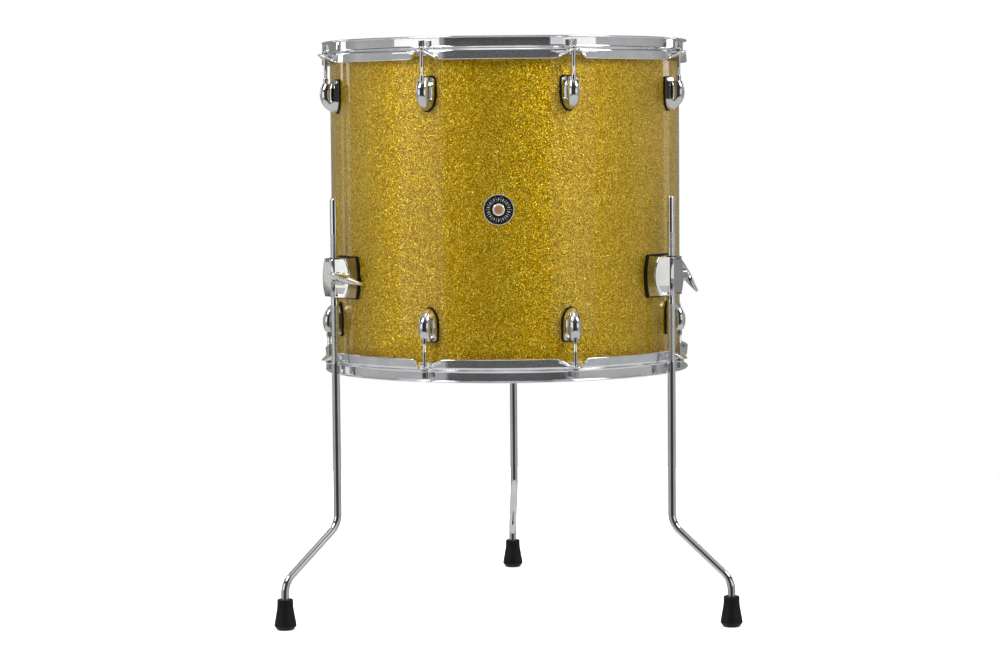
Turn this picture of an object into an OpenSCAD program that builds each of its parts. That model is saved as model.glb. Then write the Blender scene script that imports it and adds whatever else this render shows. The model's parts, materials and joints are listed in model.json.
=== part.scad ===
// Floor tom: a wooden drum shell in a sparkle wrap, with a head and a flanged steel hoop at
// each end, tension rods and lugs, and three height-adjustable bent legs in clamp brackets.
// The origin is on the drum's axis at floor level, +Z is up and the badge faces -Y.

/* [Shell] */
// Outer diameter over the wrap
shell_d = 454; // [440:1:470]
// Height between the two bearing edges
shell_depth = 406.4; // [380:0.1:430]
// Thickness of the wooden wall
shell_wall = 6; // [5:0.5:8]
// Thickness of the wrap glued around the wood
wrap_t = 0.6; // [0.4:0.1:1]
// Height of the top rim above the floor
rim_z = 742; // [720:1:760]

/* [Hoops and heads] */
// Height of a rim above its bearing edge
hoop_rise = 9.3; // [8:0.1:11]
// Height of a hoop from rim to skirt
hoop_h = 28.8; // [26:0.1:32]
// Sheet thickness of a hoop
hoop_t = 2.3; // [1.6:0.1:3]
// Inner radius of a hoop's wall
hoop_r = 230; // [229.5:0.1:231]
// Outer radius of the rolled rim
rim_r = 237; // [235:0.5:238]
// Thickness of the head film
film_t = 0.25; // [0.25:0.05:0.5]

/* [Tension rods and lugs] */
// Number of rods at each end
rod_count = 8; // [6:1:8]
// Distance of a rod's axis from the drum's axis
rod_axis = 242.6; // [242:0.1:244]
// Radius of a rod's shank
rod_r = 2.4; // [2:0.1:2.5]
// Length of a rod below its collar
rod_len = 54; // [50:1:56]
// Width of a lug's base
lug_w = 22; // [20:1:24]
// Height of a lug's base
lug_h = 41; // [38:1:44]
// Radius of a lug's barrel
lug_barrel_r = 7.75; // [7:0.25:8]
// Distance from the rim down to a lug's base
lug_drop = 50; // [48:1:54]

/* [Badge] */
// Diameter of the badge
badge_d = 38; // [34:1:42]
// Diameter of the vent hole through the badge
vent_d = 10.3; // [9:0.1:11]

/* [Legs] */
// Radius of a leg's rod
leg_r = 5; // [4.5:0.1:5]
// Distance of a leg's axis from the drum's axis
leg_axis = 246; // [245:0.5:247]
// Angle of each leg around the drum, from the front
leg_angles = [-60, 60, 180];
// Turn of each leg in its bracket, away from pointing straight out
leg_turns = [8, 7, 4];
// Height of a leg's top end
leg_top = 543; // [530:1:560]
// How far a foot stands out from its leg's axis
leg_offset = 80; // [60:1:90]
// Slope of a leg's bent stretch, from vertical
leg_bend = 50; // [40:1:55]
// Radius of a leg's two bends
leg_bend_r = 30; // [25:1:32]
// Height of a rubber foot
foot_h = 39; // [36:1:42]

/* [Brackets] */
// Height of the brackets' middle above the floor
bracket_z = 442; // [430:1:450]
// Height of a bracket
bracket_h = 52; // [48:1:56]
// Radius to a bracket's outer face
bracket_face = 257; // [256:0.2:258]
// Radius of a wing bolt's sweep
wing_r = 23; // [20:0.5:23]
// Angle of each wing bolt's wings at rest
wing_angles = [-20, 58, 35];

/* [Hidden] */
$fn = 96;

fit_gap = 0.05;                       // radial clearance of a running fit
clear_gap = 0.35;                     // clearance of a loose hole
past = 1;                             // how far a cut runs past a face

shell_r = shell_d / 2;
wood_r = shell_r - wrap_t;
bore_r = wood_r - shell_wall;
edge_top = rim_z - hoop_rise;
edge_low = edge_top - shell_depth;
mid_z = (edge_top + edge_low) / 2;
edge_round = 1.6;                     // the outer slope of a bearing edge
wrap_inset = 3;                       // the wrap stops short of the bearing edges
badge_t = 0.8;
flange_r = 7.5;                       // flange of the vent eyelet

flesh_in = 228.9;
flesh_out = 233.7;
flesh_top = rim_z - 18;
flesh_low = rim_z - 24;
step_top = 13.3;                      // where the hoop's wall starts to step out
step_out = 4.3;                       // how far it steps out, at 45 degrees
ear_top = rim_z - 16.9;
ear_t = 2.6;                          // thickness of an ear's plate
ear_flat = 5.5;                       // half the width of its level top
ear_half = 19;                        // half its width where its flanks meet the skirt's edge
ear_round = 19.5;                     // radius of its outline in plan

lug_top = rim_z - lug_drop;
lug_gasket = 2;
lug_base_t = 3;
lug_web = 9;
barrel_top = lug_top - 4.6;
barrel_low = lug_top - 36.6;
barrel_dome = 14.6;
nut_r = 4.5;
nut_neck_r = 3.2;
nut_top = lug_top + 2.3;
nut_shoulder = barrel_top - 2.4;
nut_low = nut_shoulder - 20;
lug_screw_r = 2;
lug_screw_z = [lug_top - 12, lug_top - 32];
lug_screw_tip = 234;
lug_screw_head_r = 3.8;
washer_t = 0.8;
washer_r = 5;

rod_step = 360 / rod_count;
washer_top = ear_top + 1;
collar_h = 3;
collar_r = 4.7;
key_w = 6.35;                         // square head for a drum key
key_h = 8;

bracket_gasket = 2.4;
base_half = 31.2;                     // half the base's width along the shell
base_edge = leg_axis - 15.6;          // radius at which its steep sides start
shoulder_half = 27.6;                 // half its width where the flanks start
shoulder = leg_axis - 3;
face_half = 12.4;
sleeve_r = 6.4;
sleeve_slot = 2;
sleeve_lip = 2;
bracket_screw_r = 2.5;
bracket_screw_a = [-5.2, 5.2];        // screw angles, from the leg's own
bracket_screw_z = [bracket_z - 18, bracket_z + 18];
bracket_screw_tip = 233;
bolt_axis = leg_axis + 2;
boss_r = 8.5;                         // boss around the wing bolt
bolt_r = 4;
pad_r = 5;
pad_start = 3;
pad_end = 12;
pad_travel = 3;
hub_start = 27.4;
hub_end = 42.4;
hub_r = 6;
wing_t = 2.6;

corner_low = 59.5;                    // where the axes of a leg's stretches would meet
corner_top = corner_low + leg_offset / tan(leg_bend);
bend_run = leg_bend_r * tan(leg_bend / 2);
leg_end = 8;

function rod_angle(i) = rod_step * (i - 0.5);

// Places children at an angle from the front: local +X points out, local +Y runs anticlockwise.
module around(a) {
    rotate([0, 0, a - 90]) children();
}

module at_rods() {
    for (i = [1:rod_count]) around(rod_angle(i)) children();
}

// Turns a part made for the top of the drum over to the bottom.
module flipped() {
    translate([0, 0, 2 * mid_z]) mirror([0, 0, 1]) children();
}

module both_ends() {
    children();
    flipped() children();
}

module tube(r_in, r_out, z0, z1) {
    translate([0, 0, z0]) difference() {
        cylinder(r = r_out, h = z1 - z0);
        translate([0, 0, -past]) cylinder(r = r_in, h = z1 - z0 + 2 * past);
    }
}

// A cylinder along local +X, from x0 to x1 at height z.
module radial(r, x0, x1, z) {
    translate([x0, 0, z]) rotate([0, 90, 0]) cylinder(r = r, h = x1 - x0);
}

// A cylinder along local +Y, from y0 to y1.
module tangential(r, y0, y1) {
    translate([bolt_axis, y0, bracket_z]) rotate([-90, 0, 0]) cylinder(r = r, h = y1 - y0);
}

// ---- shell ----

module lug_screw_holes(r, x0, x1) {
    both_ends() at_rods() for (z = lug_screw_z) radial(r, x0, x1, z);
}

module bracket_screw_places() {
    for (a = leg_angles, d = bracket_screw_a) around(a + d) children();
}

module wall_holes() {
    around(0) radial(vent_d / 2 + 1.2, bore_r - 5, shell_r + 5, mid_z);
    lug_screw_holes(lug_screw_r + clear_gap, bore_r - 5, shell_r + 5);
    bracket_screw_places() for (z = bracket_screw_z)
        radial(bracket_screw_r + clear_gap, bore_r - 5, shell_r + 5, z);
}

module shell() {
    inner_drop = shell_wall - edge_round;
    color("burlywood") difference() {
        rotate_extrude() polygon([
            [bore_r, edge_low + inner_drop],
            [wood_r - edge_round, edge_low],
            [wood_r, edge_low + edge_round],
            [wood_r, edge_top - edge_round],
            [wood_r - edge_round, edge_top],
            [bore_r, edge_top - inner_drop]
        ]);
        wall_holes();
    }
}

module wrap() {
    color("goldenrod") difference() {
        tube(wood_r, shell_r, edge_low + wrap_inset, edge_top - wrap_inset);
        wall_holes();
    }
}

module badge() {
    color("black") intersection() {
        tube(shell_r, shell_r + badge_t, mid_z - badge_d, mid_z + badge_d);
        around(0) difference() {
            radial(badge_d / 2, shell_r - 5, shell_r + 5, mid_z);
            radial(vent_d / 2 + 1, shell_r - 6, shell_r + 6, mid_z);
        }
    }
}

module vent_eyelet() {
    inside = bore_r - 1.3;
    color("silver") around(0) difference() {
        union() {
            radial(vent_d / 2 + 0.9, inside, shell_r + badge_t + 0.1, mid_z);
            radial(flange_r, shell_r + badge_t, shell_r + badge_t + 0.9, mid_z);
            radial(flange_r, inside - 0.6, inside, mid_z);
        }
        radial(vent_d / 2, inside - past, shell_r + 5, mid_z);
    }
}

module vent_washer() {
    color("silver") around(0) difference() {
        radial(11, bore_r - 1.3, bore_r - 0.3, mid_z);
        radial(vent_d / 2 + 1, bore_r - 3, bore_r + 3, mid_z);
    }
}

// ---- lugs ----

// Outline of a lug's base: rounded corners above, half an ellipse below.
module lug_outline(grow = 0) {
    w = lug_w / 2 + grow;
    dome = lug_h / 2;
    corner = 4;
    polygon(concat(
        [for (t = [180:6:360]) [w * cos(t), lug_top - lug_h + dome + (dome + grow) * sin(t)]],
        [for (t = [0:15:90]) [w - corner + corner * cos(t), lug_top + grow - corner + corner * sin(t)]],
        [for (t = [90:15:180]) [corner - w + corner * cos(t), lug_top + grow - corner + corner * sin(t)]]
    ));
}

module lug_plate(x0, x1, grow = 0) {
    translate([x0, 0, 0]) rotate([90, 0, 90]) linear_extrude(x1 - x0) lug_outline(grow);
}

module lug_barrel() {
    flat = barrel_low + barrel_dome;
    translate([rod_axis, 0, 0]) rotate_extrude() polygon(concat(
        [[0, barrel_top], [lug_barrel_r - 1, barrel_top], [lug_barrel_r, barrel_top - 1.5]],
        [for (t = [0:6:90]) [lug_barrel_r * cos(t), flat - barrel_dome * sin(t)]]
    ));
}

module lug_casting() {
    seat = shell_r + lug_gasket;
    difference() {
        union() {
            lug_plate(seat - 2, seat + lug_base_t);
            translate([seat, -lug_web / 2, barrel_low + 3])
                cube([rod_axis - seat, lug_web, barrel_top - barrel_low - 4]);
            lug_barrel();
        }
        translate([rod_axis, 0, nut_low - past])
            cylinder(r = nut_r + 0.1, h = nut_shoulder - nut_low + past);
        translate([rod_axis, 0, nut_shoulder - past])
            cylinder(r = nut_neck_r + 0.1, h = 10);
        for (z = lug_screw_z) radial(lug_screw_r + fit_gap, seat - 5, lug_screw_tip + 0.5, z);
    }
}

module lugs() {
    color("silver") difference() {
        at_rods() lug_casting();
        cylinder(r = shell_r + lug_gasket, h = rim_z, $fn = 180);
    }
}

module upper_lugs() {
    lugs();
}

module lower_lugs() {
    flipped() lugs();
}

module lug_gaskets() {
    color("black") both_ends() intersection() {
        tube(shell_r, shell_r + lug_gasket, lug_top - lug_h - 5, lug_top + 5);
        at_rods() difference() {
            lug_plate(shell_r - 5, shell_r + 5, 0.8);
            for (z = lug_screw_z) radial(lug_screw_r + clear_gap, shell_r - 6, shell_r + 6, z);
        }
    }
}

module lug_nuts() {
    color("silver") both_ends() at_rods() translate([rod_axis, 0, 0]) difference() {
        union() {
            translate([0, 0, nut_low]) cylinder(r = nut_r, h = nut_shoulder - nut_low);
            translate([0, 0, nut_shoulder]) cylinder(r = nut_neck_r, h = nut_top - nut_shoulder);
        }
        translate([0, 0, nut_low - past])
            cylinder(r = rod_r + fit_gap, h = nut_top - nut_low + 2 * past);
    }
}

// A pan-head screw along local +X whose head bears on a washer inside the wall.
module wall_screw(r, head_r, tip, z) {
    seat = bore_r - 0.1 - washer_t;
    radial(r, seat - 0.5, tip, z);
    radial(head_r, seat - 2.4, seat, z);
}

module wall_washer(r, z) {
    difference() {
        radial(washer_r, bore_r - 0.1 - washer_t, bore_r - 0.1, z);
        radial(r + 0.1, bore_r - 3, bore_r + 3, z);
    }
}

module lug_screws() {
    color("silver") both_ends() at_rods() for (z = lug_screw_z)
        wall_screw(lug_screw_r, lug_screw_head_r, lug_screw_tip, z);
}

module lug_washers() {
    color("silver") both_ends() at_rods() for (z = lug_screw_z) wall_washer(lug_screw_r, z);
}

// ---- leg brackets ----

// Plan of a bracket: a thick base with steep sides, then slanting flanks up to the outer face.
module bracket_plan() {
    bevel = 1.6;
    polygon([
        [shell_r - 5, base_half], [shell_r - 5, -base_half],
        [base_edge, -base_half], [shoulder, -shoulder_half],
        [bracket_face - bevel, -face_half - bevel], [bracket_face, -face_half],
        [bracket_face, face_half], [bracket_face - bevel, face_half + bevel],
        [shoulder, shoulder_half], [base_edge, base_half]
    ]);
}

// Side view of a bracket: the outer face is a little shorter than the base.
module bracket_side() {
    half = bracket_h / 2;
    short_half = half - 2.3;
    polygon([
        [shell_r - 5, bracket_z - half], [shoulder, bracket_z - half],
        [bracket_face + past, bracket_z - short_half], [bracket_face + past, bracket_z + short_half],
        [shoulder, bracket_z + half], [shell_r - 5, bracket_z + half]
    ]);
}

module leg_bracket(i) {
    floor_z = bracket_z - bracket_h / 2;
    color("silver") difference() {
        around(leg_angles[i - 1]) difference() {
            union() {
                intersection() {
                    translate([0, 0, floor_z - past]) linear_extrude(bracket_h + 2 * past) bracket_plan();
                    translate([0, 50, 0]) rotate([90, 0, 0]) linear_extrude(100) bracket_side();
                }
                tangential(boss_r, 0, hub_start - 0.2);
            }
            translate([leg_axis, 0, floor_z + sleeve_lip])
                cylinder(r = sleeve_r + fit_gap, h = bracket_h);
            translate([leg_axis, 0, floor_z - past])
                cylinder(r = leg_r + clear_gap, h = bracket_h);
            tangential(pad_r + fit_gap, 0, pad_end + pad_travel + 0.4);
            tangential(bolt_r + fit_gap, 0, hub_start + 5);
            tangential(hub_r + 1.5, hub_start - 0.2, hub_start + 5);
        }
        cylinder(r = shell_r + bracket_gasket, h = rim_z, $fn = 180);
        around(leg_angles[i - 1]) for (d = bracket_screw_a, z = bracket_screw_z)
            rotate([0, 0, d]) radial(bracket_screw_r + fit_gap, shell_r, bracket_screw_tip + 0.5, z);
    }
}

module bracket_gaskets() {
    grow = 0.8;
    floor_z = bracket_z - bracket_h / 2 - grow;
    color("black") difference() {
        intersection() {
            tube(shell_r, shell_r + bracket_gasket, floor_z, floor_z + bracket_h + 2 * grow);
            for (a = leg_angles) around(a)
                translate([shell_r - 10, -base_half - grow, floor_z])
                    cube([20, 2 * (base_half + grow), bracket_h + 2 * grow]);
        }
        bracket_screw_places() for (z = bracket_screw_z)
            radial(bracket_screw_r + clear_gap, shell_r - 6, shell_r + 6, z);
    }
}

module bracket_screws() {
    color("silver") bracket_screw_places() for (z = bracket_screw_z)
        wall_screw(bracket_screw_r, 4.6, bracket_screw_tip, z);
}

module bracket_washers() {
    color("silver") bracket_screw_places() for (z = bracket_screw_z) wall_washer(bracket_screw_r, z);
}

// ---- hoops and heads ----

module hoop_ring() {
    wall_out = hoop_r + hoop_t;
    skirt_out = wall_out + step_out;
    skirt_in = skirt_out - hoop_t;
    rotate_extrude($fn = 180) translate([0, rim_z]) polygon([
        [hoop_r, 0], [rim_r - 0.6, 0], [rim_r, -0.6], [rim_r, -2.9], [rim_r - 1.4, -2.9],
        [rim_r - 1.8, -hoop_t], [wall_out, -hoop_t], [wall_out, -step_top],
        [skirt_out, -step_top - step_out], [skirt_out, -hoop_h], [skirt_in, -hoop_h],
        [skirt_in, -step_top - step_out - 0.9], [hoop_r, -step_top - 0.9]
    ]);
}

// Cross-section of an ear, level on top with flanks down to the skirt's edge, as a bar along +X.
module ear_bar(drop, x0, x1) {
    low = rim_z - hoop_h;
    translate([x0, 0, -drop]) rotate([90, 0, 90]) linear_extrude(x1 - x0) polygon([
        [-ear_half, low], [-ear_flat, ear_top], [ear_flat, ear_top], [ear_half, low]
    ]);
}

// An ear is pressed out of the skirt, so the skirt is open under it.
module hoop() {
    wall_out = hoop_r + hoop_t;
    skirt_in = wall_out + step_out - hoop_t;
    centre = skirt_in - 1.3;
    reach = centre + ear_round + past;
    color("silver") difference() {
        union() {
            hoop_ring();
            difference() {
                at_rods() intersection() {
                    ear_bar(0, wall_out, reach);
                    translate([centre, 0, rim_z - 40]) cylinder(r = ear_round, h = 40);
                }
                cylinder(r = skirt_in, h = rim_z, $fn = 180);
            }
        }
        at_rods() {
            ear_bar(ear_t, wall_out + 0.7, reach + past);
            translate([rod_axis, 0, ear_top - 5]) cylinder(r = rod_r + clear_gap, h = 6);
        }
    }
}

module batter_hoop() {
    hoop();
}

module resonant_hoop() {
    flipped() hoop();
}

module flesh_hoop() {
    color("lightgray") tube(flesh_in, flesh_out, flesh_low, flesh_top);
}

module batter_flesh_hoop() {
    flesh_hoop();
}

module resonant_flesh_hoop() {
    flipped() flesh_hoop();
}

// The film lies on the bearing edge and turns down into the flesh hoop.
module film() {
    crown = wood_r - edge_round;
    tuck = flesh_in + 1;
    rotate_extrude($fn = 180) polygon([
        [0, edge_top], [crown + 0.2, edge_top], [crown + 2.6, edge_top - 2.6], [tuck - film_t, flesh_top],
        [tuck, flesh_top], [crown + 2.7 + film_t, edge_top - 2.4], [crown + 0.4, edge_top + film_t],
        [0, edge_top + film_t]
    ]);
}

module batter_head() {
    color("white") film();
}

module resonant_head() {
    color("whitesmoke") flipped() film();
}

// ---- tension rods ----

module rod_washers() {
    color("silver") at_rods() translate([rod_axis, 0, ear_top]) difference() {
        cylinder(r = collar_r, h = washer_top - ear_top);
        translate([0, 0, -past]) cylinder(r = rod_r + fit_gap, h = 4);
    }
}

module upper_rod_washers() {
    rod_washers();
}

module lower_rod_washers() {
    flipped() rod_washers();
}

module rod(i) {
    foot = washer_top + fit_gap;
    color("silver") around(rod_angle(i)) translate([rod_axis, 0, foot]) {
        translate([0, 0, -rod_len]) cylinder(r = rod_r, h = rod_len + 1);
        cylinder(r = collar_r - 0.2, h = collar_h / 2);
        translate([0, 0, collar_h / 2])
            cylinder(r1 = collar_r - 0.2, r2 = key_w / 2, h = collar_h / 2);
        translate([-key_w / 2, -key_w / 2, collar_h]) cube([key_w, key_w, key_h]);
    }
}

// ---- legs ----

module leg_sleeve(i) {
    z0 = bracket_z - bracket_h / 2 + sleeve_lip + 0.1;
    z1 = bracket_z + bracket_h / 2 - 1;
    color("dimgray") around(leg_angles[i - 1]) translate([leg_axis, 0, 0]) difference() {
        tube(leg_r + fit_gap, sleeve_r, z0, z1);
        translate([-sleeve_r - past, -sleeve_slot / 2, z0 - past])
            cube([sleeve_r + past, sleeve_slot, z1 - z0 + 2 * past]);
    }
}

// One bend of a leg: starts at the origin along +Z and leans towards local +X.
// It is a hair slimmer than the straight stretches, whose ends it runs into.
module bend() {
    reach = 2 * leg_bend_r;
    translate([leg_bend_r, 0, 0]) rotate([90, 0, 0]) rotate([0, 0, 180 - leg_bend]) intersection() {
        rotate_extrude() translate([leg_bend_r, 0]) circle(r = leg_r - fit_gap);
        linear_extrude(reach, center = true)
            polygon([[0, 0], [reach, 0], [reach * cos(leg_bend), reach * sin(leg_bend)]]);
    }
}

// A leg in its own frame: the foot's axis is leg_offset along +X.
module leg_rod() {
    run = leg_offset / sin(leg_bend) - 2 * bend_run;
    shoulder = corner_top + bend_run;
    low_bend = corner_low - bend_run;
    translate([0, 0, shoulder - past]) cylinder(r = leg_r, h = leg_top - 2 - shoulder + past);
    translate([0, 0, leg_top - 2]) cylinder(r1 = leg_r, r2 = leg_r - 1.6, h = 2);
    translate([0, 0, shoulder]) rotate([180, 0, 0]) bend();
    translate([0, 0, corner_top]) rotate([0, 180 - leg_bend, 0])
        translate([0, 0, bend_run - past]) cylinder(r = leg_r, h = run + 2 * past);
    translate([leg_offset, 0, low_bend]) rotate([0, 0, 180]) bend();
    translate([leg_offset, 0, leg_end]) cylinder(r = leg_r, h = low_bend - leg_end + past);
}

module place_leg(i) {
    around(leg_angles[i - 1]) translate([leg_axis, 0, 0]) rotate([0, 0, leg_turns[i - 1]]) children();
}

module leg(i) {
    color("silver") place_leg(i) leg_rod();
}

module foot(i) {
    neck_r = 10;
    flare_r = 14.2;
    color("black") place_leg(i) translate([leg_offset, 0, 0]) difference() {
        rotate_extrude() polygon([
            [0, 0], [neck_r, 0], [flare_r, 5.5], [neck_r, foot_h - 10], [neck_r, foot_h - 0.8],
            [neck_r - 0.8, foot_h], [0, foot_h]
        ]);
        translate([0, 0, leg_end]) cylinder(r = leg_r, h = foot_h);
    }
}

module clamp_pad(i) {
    color("dimgray") around(leg_angles[i - 1]) difference() {
        tangential(pad_r, pad_start, pad_end);
        translate([leg_axis, 0, bracket_z - 20]) cylinder(r = sleeve_r + clear_gap, h = 40);
    }
}

// A disc in the plane of a wing.
module wing_disc(r, x, z, thick) {
    translate([x, 0, z]) rotate([90, 0, 0]) cylinder(r = r, h = thick, center = true, $fn = 32);
}

// A wing stands out along +X from the hub and sweeps away from the bracket.
module wing() {
    hull() {
        wing_disc(3.4, 3, 4, wing_t + 1.4);
        wing_disc(5.4, wing_r - 7, 12, wing_t);
    }
    hull() {
        wing_disc(5.4, wing_r - 7, 12, wing_t);
        wing_disc(4.5, wing_r - 4.5, 13.5, wing_t);
    }
}

module wing_bolt(i) {
    color("silver") around(leg_angles[i - 1]) {
        tangential(bolt_r, pad_end + fit_gap, hub_start + 2);
        translate([bolt_axis, hub_start, bracket_z]) rotate([-90, 0, 0]) {
            cylinder(r = hub_r, h = hub_end - hub_start - 4);
            translate([0, 0, hub_end - hub_start - 4]) cylinder(r1 = hub_r, r2 = hub_r - 2.5, h = 4);
            for (s = [0, 180]) rotate([0, 0, wing_angles[i - 1] + s]) translate([0, 0, 1]) wing();
        }
    }
}

shell();
wrap();
badge();
vent_eyelet();
vent_washer();
upper_lugs();
lower_lugs();
lug_gaskets();
lug_nuts();
lug_screws();
lug_washers();
leg_bracket(1);  // leg_bracket_1
leg_bracket(2);  // leg_bracket_2
leg_bracket(3);  // leg_bracket_3
bracket_gaskets();
bracket_screws();
bracket_washers();
batter_hoop();
batter_flesh_hoop();
batter_head();
upper_rod_washers();
rod(1);  // upper_rod_1
rod(2);  // upper_rod_2
rod(3);  // upper_rod_3
rod(4);  // upper_rod_4
rod(5);  // upper_rod_5
rod(6);  // upper_rod_6
rod(7);  // upper_rod_7
rod(8);  // upper_rod_8
resonant_hoop();
resonant_flesh_hoop();
resonant_head();
lower_rod_washers();
flipped() rod(1);  // lower_rod_1
flipped() rod(2);  // lower_rod_2
flipped() rod(3);  // lower_rod_3
flipped() rod(4);  // lower_rod_4
flipped() rod(5);  // lower_rod_5
flipped() rod(6);  // lower_rod_6
flipped() rod(7);  // lower_rod_7
flipped() rod(8);  // lower_rod_8
leg_sleeve(1);  // leg_sleeve_1
leg_sleeve(2);  // leg_sleeve_2
leg_sleeve(3);  // leg_sleeve_3
leg(1);  // leg_1
leg(2);  // leg_2
leg(3);  // leg_3
foot(1);  // foot_1
foot(2);  // foot_2
foot(3);  // foot_3
clamp_pad(1);  // clamp_pad_1
clamp_pad(2);  // clamp_pad_2
clamp_pad(3);  // clamp_pad_3
wing_bolt(1);  // wing_bolt_1
wing_bolt(2);  // wing_bolt_2
wing_bolt(3);  // wing_bolt_3
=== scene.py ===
"""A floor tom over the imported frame: its visible pieces, their finishes, the studio and the camera.

Shapes are written in millimetres in the frame's own axes and scaled to metres when they are built.
"""
import json
import math

import bmesh
import bpy
from mathutils import Matrix, Vector

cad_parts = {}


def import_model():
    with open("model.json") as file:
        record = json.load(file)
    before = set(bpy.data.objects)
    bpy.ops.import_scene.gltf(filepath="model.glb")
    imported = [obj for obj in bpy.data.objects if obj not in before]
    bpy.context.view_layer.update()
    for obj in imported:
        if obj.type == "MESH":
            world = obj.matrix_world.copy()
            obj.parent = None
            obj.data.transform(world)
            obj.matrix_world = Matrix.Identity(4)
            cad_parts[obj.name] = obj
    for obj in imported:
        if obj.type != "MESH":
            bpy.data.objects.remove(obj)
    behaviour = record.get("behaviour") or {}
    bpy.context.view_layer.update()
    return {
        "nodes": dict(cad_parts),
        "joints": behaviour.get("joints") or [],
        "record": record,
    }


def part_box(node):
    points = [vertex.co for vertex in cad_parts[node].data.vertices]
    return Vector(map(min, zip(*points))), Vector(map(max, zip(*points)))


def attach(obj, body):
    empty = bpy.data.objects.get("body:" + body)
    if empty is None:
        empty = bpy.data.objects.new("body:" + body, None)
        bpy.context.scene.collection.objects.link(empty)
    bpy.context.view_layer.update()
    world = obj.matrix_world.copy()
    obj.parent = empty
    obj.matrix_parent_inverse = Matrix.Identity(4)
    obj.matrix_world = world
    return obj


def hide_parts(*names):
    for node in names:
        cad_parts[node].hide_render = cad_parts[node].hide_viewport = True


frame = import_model()

MM = 0.001
SCENE = bpy.context.scene
BODY = {n: b for b, nodes in frame["record"]["behaviour"]["bodies"].items() for n in nodes}
JOINT = {j["name"]: j for j in frame["joints"]}


# ---- places, read from the frame ----

def edge(node, side, axis):
    """One coordinate of a CAD node's box, in mm, at its lowest corner, 0, or its highest, 1."""
    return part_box(node)[side][axis] / MM


def centre(node):
    """The middle of a CAD node's box, seen from above, in mm."""
    return Vector([(edge(node, 0, k) + edge(node, 1, k)) / 2 for k in (0, 1)])


def front_angle(point):
    """The angle of a point from the drum's front, anticlockwise from above, in degrees."""
    return math.degrees(math.atan2(point[0], -point[1]))


def pivot(joint):
    return Vector(JOINT[joint]["pos_m"]) / MM


RIM = edge("batter_hoop", 1, 2)
LOW_RIM = edge("resonant_hoop", 0, 2)
MID = (RIM + LOW_RIM) / 2
SHELL_R = edge("wrap", 1, 0)
WRAP_TOP = edge("wrap", 1, 2)
WRAP_LOW = edge("wrap", 0, 2)
EDGE_TOP = edge("shell", 1, 2)
ROD_AXIS = pivot("upper_rod_1_turn").xy.length
ROD_ANGLES = [front_angle(pivot(f"upper_rod_{i}_turn")) for i in range(1, 9)]
LEG_AXIS = pivot("leg_1_turn").xy.length
LEG_ANGLES = [front_angle(pivot(f"leg_{i}_turn")) for i in (1, 2, 3)]
LEG_TOP = edge("leg_1", 1, 2)
BRACKET_Z = pivot("leg_1_turn").z
BRACKET_HALF = (edge("leg_bracket_1", 1, 2) - edge("leg_bracket_1", 0, 2)) / 2
BOLT_AXIS = pivot("wing_bolt_1_turn").xy.length
FOOT_H = edge("foot_1", 1, 2)

# Sizes inside the CAD's solids, in mm, and how far each wing bolt is turned at rest, in degrees.
LUG_TOP = RIM - 50
LUG_H = 41
LUG_GASKET = 2
BRACKET_GASKET = 2.4
LEG_R = 5
WING_REST = (-20, 58, 35)

# Mirrors the drum's upper half onto its lower half.
FLIP = Matrix.Translation((0, 0, 2 * MID)) @ Matrix.Diagonal((1, 1, -1, 1))


def around(angle, radius=0.0, height=0.0):
    """Local +X points out of the drum at this angle from its front, local +Y runs anticlockwise."""
    turn = Matrix.Rotation(math.radians(angle - 90), 4, "Z")
    return turn @ Matrix.Translation((radius, 0, height))


def at_rods(radius=0.0, height=0.0):
    return [around(a, radius, height) for a in ROD_ANGLES]


def both_ends(places):
    return places + [FLIP @ p for p in places]


# ---- shapes: lists of vertices and faces in mm ----

def smoothstep(start, end, value):
    t = min(1.0, max(0.0, (value - start) / (end - start)))
    return t * t * (3 - 2 * t)


def rounded(points, radius, steps=4, closed=True):
    """A 2-D outline whose corners are eased by curves starting radius before them."""
    points = [Vector(p) for p in points]
    radii = radius if isinstance(radius, (list, tuple)) else [radius] * len(points)
    count = len(points)
    out = []
    for i, corner in enumerate(points):
        if not closed and i in (0, count - 1):
            out.append(corner)
            continue
        before = points[i - 1] - corner
        after = points[(i + 1) % count] - corner
        start = corner + before.normalized() * min(radii[i], before.length * 0.49)
        end = corner + after.normalized() * min(radii[i], after.length * 0.49)
        for k in range(steps + 1):
            u = k / steps
            out.append(start * (1 - u) ** 2 + corner * 2 * u * (1 - u) + end * u * u)
    return out


def loft(rings, loop=False):
    """Closed rings of points joined in order. A loop also joins the last ring to the first."""
    count = len(rings[0])
    verts = [tuple(p) for ring in rings for p in ring]
    faces = []
    for k in range(len(rings) if loop else len(rings) - 1):
        here, there = k * count, (k + 1) % len(rings) * count
        for i in range(count):
            j = (i + 1) % count
            faces.append((here + i, here + j, there + j, there + i))
    if not loop:
        faces.append(tuple(range(count)))
        last = (len(rings) - 1) * count
        faces.append(tuple(last + i for i in reversed(range(count))))
    return verts, faces


def lathe(profile, segments=64, loop=False):
    """A profile of (radius, height) turned about Z. A loop is a closed outline off the axis."""
    verts, faces = [], []
    count = len(profile)
    for k in range(segments):
        a = 2 * math.pi * k / segments
        verts += [(r * math.cos(a), r * math.sin(a), z) for r, z in profile]
    for k in range(segments):
        here, there = k * count, (k + 1) % segments * count
        for i in range(count if loop else count - 1):
            j = (i + 1) % count
            faces.append((here + i, there + i, there + j, here + j))
    return verts, faces


def moved(shape, matrix):
    verts, faces = shape
    return [tuple(matrix @ Vector(v)) for v in verts], faces


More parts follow.
